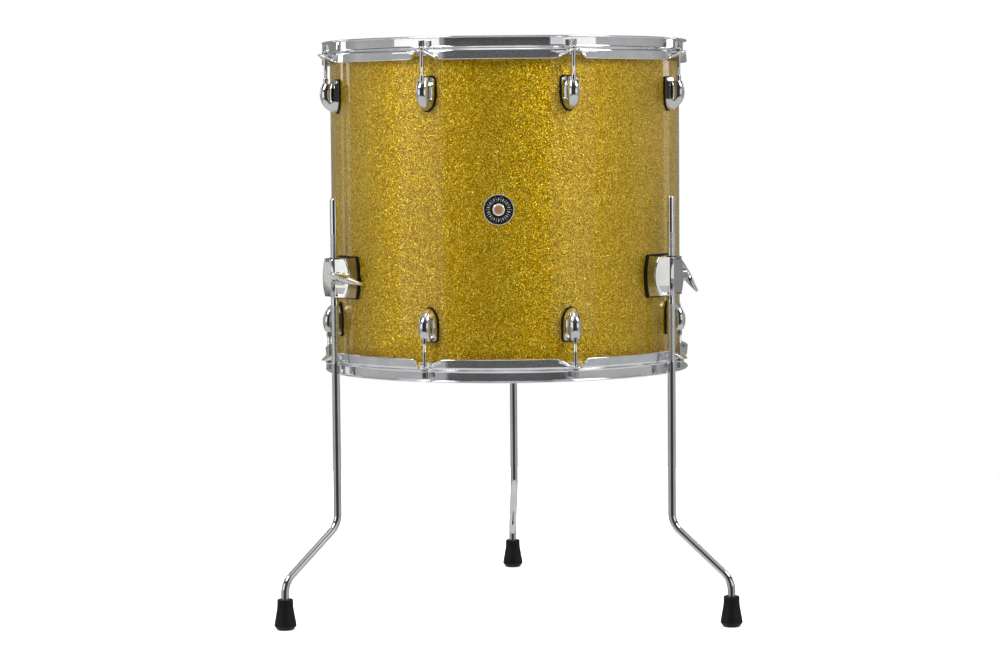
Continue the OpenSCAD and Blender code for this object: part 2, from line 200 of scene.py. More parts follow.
def slab(outline, low, high, bevel, steps=3):
    """A 2-D outline raised from low to high along Z, with its upper edge eased inwards."""
    middle = sum(outline, Vector((0, 0))) / len(outline)
    rings = [[(p.x, p.y, low) for p in outline]]
    for k in range(steps + 1):
        a = math.pi / 2 * k / steps
        inset = bevel * (1 - math.cos(a))
        ring = []
        for p in outline:
            away = p - middle
            q = middle + away * (1 - inset / max(away.length, bevel))
            ring.append((q.x, q.y, high - bevel + bevel * math.sin(a)))
        rings.append(ring)
    return loft(rings)


def bent(shape, radius):
    """Wraps a shape around the drum: its local Z becomes the distance out from radius, its X the
    distance around and its Y the height."""
    verts, faces = shape
    out = []
    for x, y, z in verts:
        a = x / radius
        out.append(((radius + z) * math.cos(a), (radius + z) * math.sin(a), y))
    return out, faces


# ---- building ----

def new_mesh(name, shapes, places=(Matrix(),)):
    bm = bmesh.new()
    for place in places:
        for verts, faces in shapes:
            made = [bm.verts.new((place @ Vector(v)) * MM) for v in verts]
            for face in faces:
                corners = [made[i] for i in face]
                if not bm.faces.get(corners):
                    bm.faces.new(corners)
    bmesh.ops.remove_doubles(bm, verts=bm.verts, dist=1e-6)
    bmesh.ops.recalc_face_normals(bm, faces=bm.faces)
    mesh = bpy.data.meshes.new(name)
    bm.to_mesh(mesh)
    bm.free()
    return mesh


def new_object(name, mesh):
    obj = bpy.data.objects.new(name, mesh)
    SCENE.collection.objects.link(obj)
    return obj


def settle(obj):
    """Applies an object's modifiers to its mesh."""
    bpy.context.view_layer.update()
    graph = bpy.context.evaluated_depsgraph_get()
    mesh = bpy.data.meshes.new_from_object(obj.evaluated_get(graph))
    obj.modifiers.clear()
    old, obj.data = obj.data, mesh
    bpy.data.meshes.remove(old)
    mesh.name = obj.name


def combine(obj, shapes, places=(Matrix(),), operation="DIFFERENCE"):
    """Cuts shapes out of an object, or joins them to it."""
    tool = new_object("tool", new_mesh("tool", shapes, places))
    modifier = obj.modifiers.new("combine", "BOOLEAN")
    modifier.operation = operation
    modifier.solver = "EXACT"
    modifier.object = tool
    settle(obj)
    mesh = tool.data
    bpy.data.objects.remove(tool)
    bpy.data.meshes.remove(mesh)


def soften(obj, width, angle):
    """Rounds an object's sharp edges."""
    bevel = obj.modifiers.new("bevel", "BEVEL")
    bevel.width = width * MM
    bevel.segments = 3
    bevel.limit_method = "ANGLE"
    bevel.angle_limit = math.radians(angle)
    settle(obj)


def taken_apart(obj):
    """Turns a work object back into a shape in mm, and removes it."""
    verts = [tuple(v.co / MM) for v in obj.data.vertices]
    faces = [tuple(p.vertices) for p in obj.data.polygons]
    bpy.data.objects.remove(obj)
    return verts, faces


def keep(obj, slot, body, nodes=(), angle=40):
    """Finishes a piece: smooth shading up to an angle, the material that its slot names, the body it
    rides on, and it hides the nodes it stands for."""
    for polygon in obj.data.polygons:
        polygon.use_smooth = True
    obj.data.set_sharp_from_angle(angle=math.radians(angle))
    weighted = obj.modifiers.new("normals", "WEIGHTED_NORMAL")
    weighted.keep_sharp = True
    weighted.weight = 60
    settle(obj)
    obj.data.materials.clear()
    obj.data.materials.append(FINISH[slot])
    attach(obj, body)
    if nodes:
        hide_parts(*nodes)


def piece(name, shapes, slot, nodes=(), places=(Matrix(),), body=None, angle=40):
    obj = new_object(name, new_mesh(name, shapes, places))
    keep(obj, slot, body or BODY[nodes[0]], nodes, angle)


# ---- finishes ----

class Nodes:
    """Small wrapper that adds and links the nodes of one tree."""

    def __init__(self, tree):
        self.tree = tree

    def add(self, kind, inputs=None, **settings):
        node = self.tree.nodes.new(kind)
        for key, value in settings.items():
            setattr(node, key, value)
        for key, value in (inputs or {}).items():
            if isinstance(value, bpy.types.NodeSocket):
                self.tree.links.new(value, node.inputs[key])
            else:
                node.inputs[key].default_value = value
        return node

    def ramp(self, value, *stops):
        node = self.add("ShaderNodeValToRGB", {"Fac": value})
        elements = node.color_ramp.elements
        while len(elements) < len(stops):
            elements.new(0.5)
        for element, (position, colour) in zip(elements, stops):
            element.position = position
            element.color = (*colour, 1)
        return node.outputs["Color"]

    def mix(self, share, first, second):
        values = {0: share, 6: first, 7: second}
        return self.add("ShaderNodeMix", values, data_type="RGBA").outputs[2]


class Material(Nodes):
    """The nodes of one material, around its shader."""

    def __init__(self, name):
        self.material = bpy.data.materials.new(name)
        self.material.use_nodes = True
        super().__init__(self.material.node_tree)
        self.shader = self.tree.nodes["Principled BSDF"]
        self.place = self.add("ShaderNodeTexCoord").outputs["Object"]

    def set(self, **values):
        for key, value in values.items():
            self.shader.inputs[key.replace("_", " ")].default_value = value

    def link(self, output, socket):
        self.tree.links.new(output, self.shader.inputs[socket])

    def stretched(self, x, y, z):
        """Coordinates scaled along each axis, for grain and brushed marks."""
        values = {"Vector": self.place, "Scale": (x, y, z)}
        return self.add("ShaderNodeMapping", values).outputs["Vector"]

    def noise(self, scale, detail=2.0, vector=None, roughness=0.5):
        values = {"Vector": vector or self.place, "Scale": scale,
                  "Detail": detail, "Roughness": roughness}
        return self.add("ShaderNodeTexNoise", values).outputs["Fac"]

    def spread(self, value, low, high, start=0.3, end=0.7):
        """Maps a texture's middle range onto low to high."""
        values = {"Value": value, "From Min": start, "From Max": end, "To Min": low, "To Max": high}
        return self.add("ShaderNodeMapRange", values).outputs["Result"]

    def bump(self, height, distance):
        values = {"Height": height, "Distance": distance}
        return self.add("ShaderNodeBump", values).outputs["Normal"]


def plated(name, dark, light, rough, waviness, haze=0.0):
    """Bright plating: faint waves from the polishing, a slightly uneven shine and a little haze."""
    t = Material(name)
    t.set(Metallic=1.0 - haze)
    t.link(t.ramp(t.noise(35, 3), (0.35, dark), (0.65, light)), "Base Color")
    t.link(t.spread(t.noise(220, 4), rough * 0.6, rough * 1.5), "Roughness")
    t.link(t.bump(t.noise(70, 2), waviness * MM), "Normal")
    return t.material


def steel(name, colour, rough, lengthwise):
    """Plain zinc-plated or brushed metal, with fine marks along one direction."""
    t = Material(name)
    t.set(Metallic=1.0)
    marks = t.noise(1, 3, t.stretched(*lengthwise))
    t.link(t.ramp(marks, (0.3, [c * 0.8 for c in colour]), (0.7, colour)), "Base Color")
    t.link(t.spread(marks, rough * 0.75, rough * 1.3), "Roughness")
    t.link(t.bump(marks, 0.02 * MM), "Normal")
    return t.material


def rubber(name, colour, rough):
    """Moulded rubber: a fine matt grain with a few worn, lighter patches."""
    t = Material(name)
    grain = t.noise(2600, 2)
    worn = t.noise(90, 4)
    t.link(t.ramp(worn, (0.45, colour), (0.8, [c * 1.9 for c in colour])), "Base Color")
    t.link(t.spread(grain, rough * 0.85, rough * 1.1), "Roughness")
    t.set(Specular_IOR_Level=0.22)
    t.link(t.bump(grain, 0.03 * MM), "Normal")
    return t.material


FLAKES = 1400.0
SPARKS = 1300.0
# The flakes' tones are partly their own random tone and partly painted sparkle: painted shade at the
# dark end, painted highlight at the light end.
FLAKE_TONE_AND_PAINTED_LIGHT = ((0.0, (0.18, 0.08, 0.0)), (0.5, (0.54, 0.295, 0.0)), (1.0, (0.80, 0.48, 0.001)))
# A painted glint: the colour given to the brightest flakes in place of the light they would catch.
PAINTED_GLINT = (1.0, 0.87, 0.12, 1)
FLAKE_TILT = 0.75


def sparkle():
    """Gold glitter in clear plastic: each flake tilts and shines on its own, under a gloss coat, and
    its colour also carries painted sparkle: painted shade on the dark flakes and a painted glint on
    the brightest ones.
    """
    t = Material("sparkle_wrap")
    flakes = t.add("ShaderNodeTexVoronoi", {"Vector": t.place, "Scale": FLAKES})
    sparks = t.add("ShaderNodeTexVoronoi", {"Vector": t.place, "Scale": SPARKS})
    tone = t.add("ShaderNodeSeparateColor", {"Color": flakes.outputs["Color"]}).outputs["Red"]
    spark = t.add("ShaderNodeSeparateColor", {"Color": sparks.outputs["Color"]}).outputs["Green"]
    base = t.ramp(tone, *FLAKE_TONE_AND_PAINTED_LIGHT)
    # Picks the flakes that get the painted glint colour.
    painted_glint_share = t.spread(spark, 0.0, 1.0, 0.80, 0.86)
    t.link(t.mix(painted_glint_share, base, PAINTED_GLINT), "Base Color")
    t.link(t.spread(tone, 0.50, 0.30, 0.0, 1.0), "Roughness")
    tilt = t.add("ShaderNodeVectorMath", {0: flakes.outputs["Color"], 1: (0.5, 0.5, 0.5)},
                 operation="SUBTRACT")
    lean = t.add("ShaderNodeVectorMath", {0: tilt.outputs[0], "Scale": FLAKE_TILT},
                 operation="SCALE")
    straight = t.add("ShaderNodeNewGeometry").outputs["Normal"]
    turned = t.add("ShaderNodeVectorMath", {0: straight, 1: lean.outputs[0]}, operation="ADD")
    normal = t.add("ShaderNodeVectorMath", {0: turned.outputs[0]}, operation="NORMALIZE")
    t.link(normal.outputs[0], "Normal")
    t.set(Metallic=0.86, Specular_IOR_Level=0.0)
    t.set(Coat_Weight=0.9, Coat_Roughness=0.015, Coat_IOR=1.38)
    return t.material


def wood():
    """Pale wood, with its grain running up the wall."""
    t = Material("shell_wood")
    grain = t.noise(1, 5, t.stretched(260, 260, 9), 0.6)
    figure = t.noise(1, 3, t.stretched(30, 30, 3))
    tint = t.mix(0.4, grain, figure)
    shades = (0.3, (0.56, 0.32, 0.17)), (0.5, (0.78, 0.50, 0.30)), (0.72, (0.88, 0.64, 0.43))
    t.link(t.ramp(tint, *shades), "Base Color")
    t.link(t.spread(grain, 0.42, 0.62), "Roughness")
    t.link(t.bump(grain, 0.05 * MM), "Normal")
    return t.material


def film(name, colour, rough, clear, grain_height):
    """Drum-head film: light passes through it, and a coated one has a gritty skin."""
    t = Material(name)
    grain = t.noise(1500, 3)
    cloud = t.noise(14, 3)
    t.link(t.ramp(cloud, (0.3, [c * 0.94 for c in colour]), (0.7, colour)), "Base Color")
    t.link(t.spread(grain, rough * 0.85, rough * 1.15), "Roughness")
    t.link(t.bump(grain, grain_height * MM), "Normal")
    t.set(Transmission_Weight=clear, IOR=1.2)
    return t.material


def enamel():
    """Black badge enamel with faint polishing haze."""
    t = Material("badge_enamel")
    haze = t.noise(900, 3)
    t.link(t.ramp(haze, (0.4, (0.006, 0.006, 0.007)), (0.75, (0.02, 0.019, 0.018))), "Base Color")
    t.link(t.spread(haze, 0.16, 0.34), "Roughness")
    t.set(Specular_IOR_Level=0.25, Coat_Weight=0.12, Coat_Roughness=0.08)
    return t.material


def nylon():
    """Black moulded nylon, slightly mottled."""
    t = Material("nylon")
    grain = t.noise(1200, 2)
    shades = (0.4, (0.018, 0.018, 0.02)), (0.7, (0.035, 0.035, 0.038))
    t.link(t.ramp(t.noise(60, 3), *shades), "Base Color")
    t.link(t.spread(grain, 0.36, 0.5), "Roughness")
    t.link(t.bump(grain, 0.02 * MM), "Normal")
    return t.material


FINISH = {
    "shell_wood": wood(),
    "sparkle_wrap": sparkle(),
    "badge_enamel": enamel(),
    "bright_metal": plated("bright_metal", (0.84, 0.82, 0.77), (0.93, 0.91, 0.86), 0.12, 0.01,
                           haze=0.35),
    "gasket_rubber": rubber("gasket_rubber", (0.003, 0.003, 0.003), 0.55),
    "foot_rubber": rubber("foot_rubber", (0.005, 0.005, 0.005), 0.42),
    "flesh_aluminium": steel("flesh_aluminium", (0.72, 0.73, 0.74), 0.32, (40, 40, 900)),
    "coated_film": film("coated_film", (0.84, 0.84, 0.81), 0.62, 0.35, 0.04),
    "clear_film": film("clear_film", (0.90, 0.92, 0.92), 0.24, 0.85, 0.005),
    "nylon": nylon(),
    "screw_steel": steel("screw_steel", (0.55, 0.55, 0.54), 0.30, (300, 300, 300)),
    "leg_chrome": plated("leg_chrome", (0.78, 0.79, 0.80), (0.88, 0.89, 0.90), 0.06, 0.006),
    "rod_steel": steel("rod_steel", (0.74, 0.74, 0.74), 0.13, (300, 300, 900)),
    "hoop_chrome": plated("hoop_chrome", (0.80, 0.81, 0.83), (0.90, 0.91, 0.93), 0.04, 0.012,
                          haze=0.07),
    "cast_chrome": plated("cast_chrome", (0.70, 0.70, 0.69), (0.79, 0.79, 0.78), 0.06, 0.03),
}


def dress_frame():
    """Gives each CAD node that stays in view the finish its slot names."""
    for part in frame["record"]["subparts"]:
        node = frame["nodes"][part["node"]]
        node.data.materials.clear()
        node.data.materials.append(FINISH[part["material_slot"]])


# ---- shell, wrap and badge ----

VENT_R = 6.35
WRAP_THICK = 0.6
SEAM_ANGLE = 139.0
SEAM_STEP = 0.3
SEAM_FADE = 7.0     # degrees over which the lap sinks back to the wrap's own level
BADGE_THICK = 0.75
BADGE_MARKS = 28


def wrap():
    """The wrap laps over itself in one fine vertical step at the back."""
    angles = [360 * k / 288 for k in range(288)]
    angles += [SEAM_ANGLE - 0.02, SEAM_ANGLE + 0.02]
    inside = SHELL_R - WRAP_THICK
    rings = []
    for a in sorted(angles):
        past = a - SEAM_ANGLE
        rise = SEAM_STEP * (1 - past / SEAM_FADE) if 0 < past < SEAM_FADE else 0.0
        turn = math.radians(a - 90)
        outside = SHELL_R + rise
        rings.append([(r * math.cos(turn), r * math.sin(turn), z) for r, z in (
            (inside, WRAP_LOW), (outside, WRAP_LOW), (outside, WRAP_TOP), (inside, WRAP_TOP))])
    obj = new_object("wrap_sheet", new_mesh("wrap_sheet", [loft(rings, loop=True)]))
    hole = moved(lathe([(0, -20), (VENT_R, -20), (VENT_R, 20), (0, 20)], 48),
                 Matrix.Translation((SHELL_R, 0, MID)) @ Matrix.Rotation(math.pi / 2, 4, "Y"))
    combine(obj, [hole], [around(0)])
    keep(obj, "sparkle_wrap", BODY["wrap"], ["wrap"], 25)


def on_shell(shape):
    """A flat shape bent over the wrap, about the middle of the drum's height."""
    return moved(bent(shape, SHELL_R), Matrix.Translation((0, 0, MID)))


def badge_marks():
    """Lozenges and rows of three dots, in turn, around the badge."""
    low, high, dot_high, bevel = 0.7, 1.0, 0.98, 0.12
    for k in range(BADGE_MARKS):
        turn = Matrix.Rotation(2 * math.pi * k / BADGE_MARKS, 4, "Z")
        if k % 2:
            lozenge = rounded([(10.0, 0), (12.8, -0.85), (15.6, 0), (12.8, 0.85)], 0.4, 2)
            yield moved(slab(lozenge, low, high, bevel, 1), turn)
            continue
        for r, size in ((10.9, 0.42), (13.0, 0.62), (15.2, 0.42)):
            dot = [Vector((r + size * math.cos(t), size * math.sin(t)))
                   for t in (2 * math.pi * n / 10 for n in range(10))]
            yield moved(slab(dot, low, dot_high, bevel, 1), turn)


def badge():
    """An enamelled disc with a bright rim and a plain band of marks around the vent."""
    edge_r = (edge("badge", 1, 2) - edge("badge", 0, 2)) / 2
    hole = VENT_R - 0.05
    plate = lathe([(hole, 0.0), (edge_r - 0.3, 0.0), (edge_r - 0.3, BADGE_THICK),
                   (hole, BADGE_THICK)], 96, loop=True)
    piece("badge_plate", [on_shell(plate)], "badge_enamel", ["badge"], [around(0)])
    bead = lathe([(edge_r - 1.0, 0.7), (edge_r - 0.9, 1.1), (edge_r - 0.3, 1.2), (edge_r, 0.9),
                  (edge_r, 0.05), (edge_r - 0.3, 0.0)], 96, loop=True)
    piece("badge_ornament", [on_shell(shape) for shape in (bead, *badge_marks())],
          "bright_metal", [], [around(0)], BODY["badge"])


def vent():
    """The eyelet: a rolled lip over the badge, a tube through the wall and a flange inside it."""
    front = -edge("vent_eyelet", 0, 1)
    back = -edge("vent_eyelet", 1, 1)
    bore, tube, flange = 5.15, 6.05, 7.5
    profile = [(bore, back), (bore, front - 0.5), (bore + 0.4, front), (bore + 1.2, front + 0.05),
               (7.2, front - 0.35), (flange, front - 0.85), (tube, front - 0.9),
               (tube, back + 0.6), (flange, back + 0.6), (flange, back)]
    turn = Matrix.Rotation(math.pi / 2, 4, "Y")
    shape = moved(lathe(profile, 64, loop=True), Matrix.Translation((0, 0, MID)) @ turn)
    piece("vent_ring", [shape], "bright_metal", ["vent_eyelet"], [around(0)])


# ---- hoops and heads ----

# A hoop is one bent sheet: a lip at the rim, an upright wall, a step, and a skirt with eight ears.
# Radii and heights under the rim are those of the middle of the sheet.
HALF_SHEET = 1.15
LIP_R = 236.1
WALL_R = 231.15
WALL_END = -13.8
SKIRT_R = 235.45
SKIRT_START = -17.6
SKIRT_END = -27.65
SKIRT_FLARE = 0.8
EAR_Z = -18.05
EAR_REACH = 16.3
EAR_FLARE = 19.0    # distance from a rod, along the hoop, at which its ear starts to lean out
EAR_SPAN = 25.0     # and at which the skirt's bend starts to rise to the ear


def ear(distance):
    """The skirt's edge beside a rod: its radius, its height and how far its bend is lifted."""
    s = abs(distance)
    z = EAR_Z + (SKIRT_END - EAR_Z) * (1 - math.exp(-(max(0.0, s - 3.0) / 10.5) ** 2))
    out = max(0.0, 1 - (s / EAR_FLARE) ** 2) ** 1.8
    radius = SKIRT_R + SKIRT_FLARE + (EAR_REACH - SKIRT_FLARE) * out
    return radius, z, smoothstep(EAR_SPAN, 10.0, s)


def hoop_section(distance):
    """The hoop's cross-section, as a closed outline of (radius, height under the rim)."""
    end_r, end_z, lift = ear(distance)
    bend_z = -20.5
    line = [(LIP_R, -HALF_SHEET), (WALL_R, -HALF_SHEET), (WALL_R, WALL_END),
            (SKIRT_R, SKIRT_START + 0.4 * lift), (SKIRT_R, bend_z + (end_z - bend_z) * lift),
            (end_r, end_z)]
    path = rounded(line, [0, 1.6, 2.6, 1.8, 2.6, 0], 5, closed=False)
    outer, inner = [], []
    for i, p in enumerate(path):
        ahead = (path[min(i + 1, len(path) - 1)] - path[max(i - 1, 0)]).normalized()
        side = Vector((ahead.y, -ahead.x)) * HALF_SHEET
        outer.append(p - side)
        inner.append(p + side)

    def rolled_edge(tip, inward, start):
        away = inward.normalized() * HALF_SHEET
        across = start - tip
        turns = (0.6, 1.1, math.pi / 2, 2.04, 2.54)
        return [tip + away * math.sin(t) + across * math.cos(t) for t in turns]

    low_edge = rolled_edge(path[-1], path[-1] - path[-2], outer[-1])
    lip_edge = rolled_edge(path[0], path[0] - path[1], inner[0])
    return outer + low_edge + inner[::-1] + lip_edge


def hoop_angles():
    """Angles around the hoop, close together at its ears, with the distance to the nearest rod."""
    degree = math.radians(1) * ROD_AXIS
    pitch = 360 / len(ROD_ANGLES) * degree
    near = [k * 0.95 for k in range(-30, 31)]
    span = pitch - 2 * near[-1]
    far = [near[-1] + span * k / 26 for k in range(1, 26)]
    for rod in ROD_ANGLES:
        for s in near + far:
            yield rod + s / degree, s if s < pitch / 2 else s - pitch


def hoops():
    """Both hoops are one shape. The rod holes go through the ears."""
    rings = []
    for angle, distance in hoop_angles():
        turn = around(angle)
        rings.append([turn @ Vector((r, 0, RIM + z)) for r, z in hoop_section(distance)])
    hole_r = 2.75
    hole = lathe([(0, RIM - 40), (hole_r, RIM - 40), (hole_r, RIM - 10), (0, RIM - 10)], 32)
    obj = new_object("batter_rim_hoop", new_mesh("batter_rim_hoop", [loft(rings, loop=True)]))
    combine(obj, [hole], at_rods(ROD_AXIS))
    low = new_object("resonant_rim_hoop", obj.data.copy())
    low.data.transform(Matrix.Translation((0, 0, 2 * MID * MM)) @ Matrix.Diagonal((1, 1, -1, 1)))
    low.data.flip_normals()
    keep(obj, "hoop_chrome", BODY["batter_hoop"], ["batter_hoop"], 50)
    keep(low, "hoop_chrome", BODY["resonant_hoop"], ["resonant_hoop"], 50)


FILM_THICK = 0.12


def heads():
    """Each head is a film over the bearing edge, held in a rolled aluminium flesh hoop."""
    top, low, flat = RIM - 18, RIM - 24, EDGE_TOP
    channel = top - 2.2
    ring = rounded([(228.9, low), (233.7, low), (233.7, top), (231.6, top), (231.6, channel),
                    (230.6, channel), (230.6, top), (228.9, top)],
                   [0.8, 0.8, 0.7, 0.4, 0.3, 0.3, 0.4, 0.7], 3)
    line = [(0, flat + FILM_THICK), (222.0, flat + FILM_THICK), (227.0, flat - 0.2),
            (229.6, flat - 3.6), (230.9, top - 1.9)]
    skin = rounded(line, [0, 0, 3.0, 2.2, 0], 6, closed=False)
    under = [(p.x - (FILM_THICK if p.x >= 224 else 0.0), p.y - 2 * FILM_THICK) for p in skin]
    film_shape = lathe([tuple(p) for p in skin] + under[::-1], 192)
    for end, slot, place in (("batter", "coated_film", Matrix()), ("resonant", "clear_film", FLIP)):
        piece(f"{end}_flesh_ring", [lathe(ring, 240, loop=True)], "flesh_aluminium",
              [f"{end}_flesh_hoop"], [place])
        piece(f"{end}_film", [film_shape], slot, [f"{end}_head"], [place], angle=60)


# ---- lugs ----

def lug_half_width(z):
    """Half the width of a lug's base at z below its top: eased shoulders, then half an ellipse."""
    half, corner, dome = 11.0, 4.0, LUG_H / 2
    if z < corner:
        return half - corner + math.sqrt(max(0.0, corner ** 2 - (corner - z) ** 2))
    if z > LUG_H - dome:
        return half * math.sqrt(max(0.0, 1 - ((z - LUG_H + dome) / dome) ** 2))
    return half


def lug_outline(grow):
    """The outline of a lug's base as (around, height) from its top."""
    right = []
    for k in range(41):
        z = LUG_H * (1 - math.cos(math.pi * k / 40)) / 2
        right.append(Vector((lug_half_width(z), -z)))
    outline = right + [Vector((-p.x, p.y)) for p in right[-2:0:-1]]
    middle = Vector((0, -LUG_H / 2))
    return [middle + (p - middle) * (1 + grow / max((p - middle).length, 1)) for p in outline]


BARREL_TOP = 4.6    # down from the lug's top
BARREL_R = 8.0
NOSE = 21.4         # out from the gasket, like BACK and PLATE
BACK = -1.4
PLATE = 3.2
WEB = 2.6           # half the width of the web between the plate and the barrel


def lug_section(z):
    """Half of a level cut through a lug, from its back edge to its nose, at z below its top.
    Above the barrel there is only the plate. Beside the barrel a ridge rises from the plate, and
    the hollow behind the barrel closes low down."""
    foot = max(lug_half_width(z), 0.4)
    down = z - BARREL_TOP
    if down < 0:
        edge_line = ((BACK, 0), (0.4, 0), (1.4, 0), (2.2, 0.15), (2.8, 0.5), (PLATE, 1.2))
        return ([(x, foot - inset) for x, inset in edge_line]
                + [(PLATE, foot * k / 15) for k in range(13, -1, -1)])
    fullest = 13
    swell = math.sqrt(max(0.0, 1 - ((down - fullest) / 24.0) ** 2))
    barrel = max(BARREL_R * swell, 0.3)
    nose = NOSE * math.sqrt(max(0.0, 1 - ((down - fullest) / 23.6) ** 2))
    middle = max(nose - barrel, 1.5)
    fill = smoothstep(21.0, 26.0, down)
    web = min(WEB + (barrel - WEB) * fill, barrel)
    meet = middle - math.sqrt(max(0.0, barrel ** 2 - web ** 2))
    ridge = min(PLATE + down / 22.0 * (middle - PLATE), max(meet, PLATE))
    low = smoothstep(0.0, 9.0, down)
    half = []
    for k in range(6):
        x = BACK + (ridge - BACK) * (k / 5) ** 0.8
        share = min(1.0, max(0.0, x) / middle)
        bulge = barrel + (foot - barrel) * (1 - share ** 1.6)
        plate = foot - smoothstep(1.6, PLATE, x)
        half.append((x, min(foot, bulge * low + plate * (1 - low))))
    half.append((max(meet, ridge), web))
    start = math.pi - math.asin(min(1.0, web / barrel))
    for k in range(13):
        a = start * (1 - k / 12)
        half.append((max(middle + barrel * math.cos(a), half[-1][0]), barrel * math.sin(a)))
    return half


def lug():
    """One casting, its axis up, its back on the gasket and its top at the local origin."""
    heights = [0.0, 0.3, 0.9, 1.8, 3.0, 4.0, 4.55, 4.65, 5.0, 5.6]
    heights += [5.6 + (LUG_H - 7.6) * k / 40 for k in range(1, 41)]
    heights += [LUG_H - rest for rest in (1.4, 0.9, 0.5, 0.2)]
    back = SHELL_R + LUG_GASKET
    rings = []
    for z in heights:
        half = lug_section(z)
        ring = [(back + x, y, -z) for x, y in half]
        ring += [(back + x, -y, -z) for x, y in half[-2::-1]]
        rings.append(ring)
    return loft(rings)


def lugs():
    """The castings, cut to the drum's curve and bored for their nuts, with gaskets and nuts."""
    to_top = Matrix.Translation((0, 0, LUG_TOP))
    on_axis = Matrix.Translation((ROD_AXIS, 0, LUG_TOP))
    one = new_object("lug", new_mesh("lug", [moved(lug(), to_top)]))
    back = SHELL_R + LUG_GASKET
    high, low = LUG_TOP + 5, LUG_TOP - 60
    combine(one, [lathe([(SHELL_R - 8, high), (back, high), (back, low), (SHELL_R - 8, low)],
                        288, loop=True)])
    bore = [(0, -26), (4.7, -26), (4.7, -4.55), (3.35, -4.5), (3.35, 4), (0, 4)]
    combine(one, [moved(lathe(bore, 32), on_axis)])
    soften(one, 0.45, 40)
    casting = taken_apart(one)
    upper = at_rods()
    piece("upper_lug_castings", [casting], "cast_chrome", ["upper_lugs"], upper, angle=38)
    piece("lower_lug_castings", [casting], "cast_chrome", ["lower_lugs"],
          [FLIP @ p for p in upper], angle=38)
    pad = bent(slab(lug_outline(1.5), 0, LUG_GASKET, 0.5), SHELL_R)
    piece("lug_gasket_pads", [moved(pad, to_top)], "gasket_rubber", ["lug_gaskets"],
          both_ends(upper))
    neck = [(2.45, -24.5), (4.4, -24.5), (4.5, -24.0), (4.5, -7.2), (3.25, -7.0), (3.25, 1.2),
            (2.95, 2.2), (2.6, 2.3), (2.45, 2.0)]
    nut = moved(lathe(neck, 40, loop=True), on_axis)
    piece("swivel_nuts", [nut], "rod_steel", ["lug_nuts"], both_ends(upper))


# ---- tension rods ----

THREAD_PITCH = 1.058
THREAD_DEPTH = 0.32
THREADED = 33.0
ROD_R = 2.4
ROD_LENGTH = 54.0
KEY_HEAD = 11.0
AROUND_ROD = 32


def rod_ring(z, radius, square=0.0):
    """A ring that goes from a circle to a square with eased corners as square goes from 0 to 1."""
    ring = []
    for k in range(AROUND_ROD):
        a = 2 * math.pi * (k + 0.5) / AROUND_ROD
        c, s = math.cos(a), math.sin(a)
        reach = min(1 / max(abs(c), abs(s)), 1.30)
        r = radius * (1 + (reach - 1) * square)
        ring.append((r * c, r * s, z))
    return ring


def threaded(z, top):
    """A ring of the screw thread, fading out where the plain shank starts."""
    depth = THREAD_DEPTH * smoothstep(top, top - 2.0, z)
    ring = []
    for k in range(AROUND_ROD):
        turn = (k + 0.5) / AROUND_ROD
        phase = (z / THREAD_PITCH - turn) % 1.0
        r = ROD_R - depth * abs(2 * phase - 1)
        a = 2 * math.pi * turn
        ring.append((r * math.cos(a), r * math.sin(a), z))
    return ring


def tension_rod():
    """Origin under the collar: the shank goes down, the key head up."""
    top = THREADED - ROD_LENGTH
    tip = 0.8
    count = int((THREADED - tip) / THREAD_PITCH * 6)
    rings = [rod_ring(-ROD_LENGTH, ROD_R - 0.9)]
    rings += [threaded(-ROD_LENGTH + tip + k * THREAD_PITCH / 6, top) for k in range(count)]
    shank = [(top + 0.5, ROD_R), (-0.5, ROD_R), (0.0, ROD_R + 0.2)]
    collar = [(0.02, 4.2), (0.3, 4.5), (1.3, 4.5), (1.7, 4.3), (2.4, 3.7), (2.7, 3.5)]
    head = [(3.0, 3.2, 0.6), (3.3, 3.17, 1.0), (10.2, 3.17, 1.0), (10.7, 3.0, 0.9),
            (KEY_HEAD, 2.5, 0.7)]
    return loft(rings + [rod_ring(*station) for station in shank + collar + head])


def rods():
    """Sixteen rods, each left turned by its own amount, and the washers under their collars."""
    shape = tension_rod()
    for i, angle in enumerate(ROD_ANGLES, 1):
        high = edge(f"upper_rod_{i}", 1, 2) - KEY_HEAD
        turn = Matrix.Rotation(math.radians(17 * i * i % 90), 4, "Z")
        place = around(angle, ROD_AXIS, high) @ turn
        piece(f"upper_tension_rod_{i}", [shape], "rod_steel", [f"upper_rod_{i}"], [place])
        piece(f"lower_tension_rod_{i}", [shape], "rod_steel", [f"lower_rod_{i}"], [FLIP @ place])
    washer = lathe([(2.5, 0.0), (4.6, 0.0), (4.7, 0.12), (4.7, 0.85), (4.5, 1.0), (2.6, 1.0),
                    (2.5, 0.9)], 40, True)
    places = at_rods(ROD_AXIS, edge("upper_rod_washers", 0, 2))
    piece("upper_washers", [washer], "screw_steel", ["upper_rod_washers"], places)
    piece("lower_washers", [washer], "screw_steel", ["lower_rod_washers"],
          [FLIP @ p for p in places])


# ---- legs ----

KNURL_AROUND = 16
KNURL_PITCH = 2.1
KNURL_DEPTH = 0.42
KNURLED = ((333.0, 406.0), (414.0, 497.0))
BEND_R = 30
FOOT_SEAT = 8.0     # the height of the leg's end inside its rubber foot


def leg_path(offset):
    """The centre line of a leg, from its foot up, with the foot at offset along +X."""
    slope, low = math.radians(50), 59.5
    high = low + offset / math.tan(slope)
    line = [(offset, FOOT_SEAT), (offset, low), (0, high), (0, LEG_TOP)]
    run = BEND_R * math.tan(slope / 2)
    points = []
    for i in (1, 2):
        a, corner, b = (Vector(line[j]) for j in (i - 1, i, i + 1))
        start = corner + (a - corner).normalized() * run
        end = corner + (b - corner).normalized() * run
        inner = ((a - corner).normalized() + (b - corner).normalized()).normalized()
        hub = corner + inner * (BEND_R / math.cos(slope / 2))
        first, last = start - hub, end - hub
        for k in range(15):
            turn = k / 14
            arm = first * math.sin((1 - turn) * slope) + last * math.sin(turn * slope)
            points.append(hub + arm / math.sin(slope))
    return [Vector(line[0])] + points


